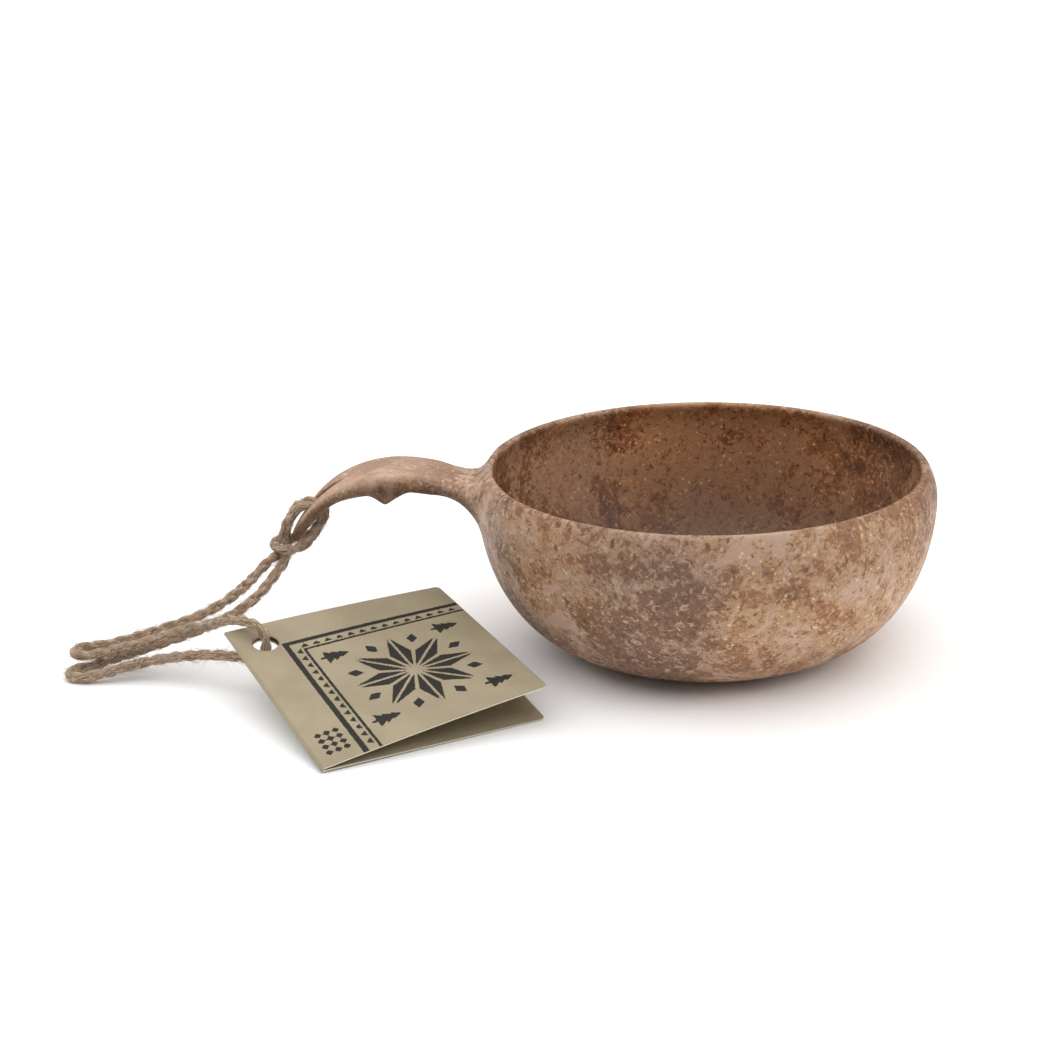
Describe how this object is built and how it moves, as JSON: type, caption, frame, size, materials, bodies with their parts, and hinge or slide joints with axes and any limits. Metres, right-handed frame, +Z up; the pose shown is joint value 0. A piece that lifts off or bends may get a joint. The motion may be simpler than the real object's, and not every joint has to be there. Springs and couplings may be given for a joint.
{
  "type": "kuksa drinking bowl",
  "caption": "Wide moulded kuksa bowl with one arched, eyed handle, a twine loop hitched through the eye and a folded card tag on the loop.",
  "frame": {"origin": "middle of the bowl's flat base, on the surface it stands on", "axes": "+Z up out of the bowl; -X from the bowl along the handle; +Y across the handle, away from the side where the tag lies"},
  "size_m": [0.2633, 0.1753, 0.056],
  "materials": {
    "kuksa_composite": "satin, mottled wood-fibre composite",
    "jute_twine": "rough two-ply jute",
    "tag_card": "matt card with a dark print"
  },
  "bodies": {
    "kuksa": {"kuksa_body": "kuksa_composite", "twine": "jute_twine"},
    "tag": {"tag_lower_leaf": "tag_card"},
    "tag_cover": {"tag_upper_leaf": "tag_card"}
  },
  "joints": [
    {"name": "tag_swing", "type": "hinge", "parent": "kuksa", "child": "tag", "pos_m": [-0.12877, -0.05151, 0.01597], "axis": [0, 0, 1], "range_deg": [-25, 8]},
    {"name": "tag_fold", "type": "hinge", "parent": "tag", "child": "tag_cover", "pos_m": [-0.1044, -0.1052, 0.0011], "axis": [0.5249, -0.8145, -0.247], "range_deg": [-3, 8]}
  ]
}
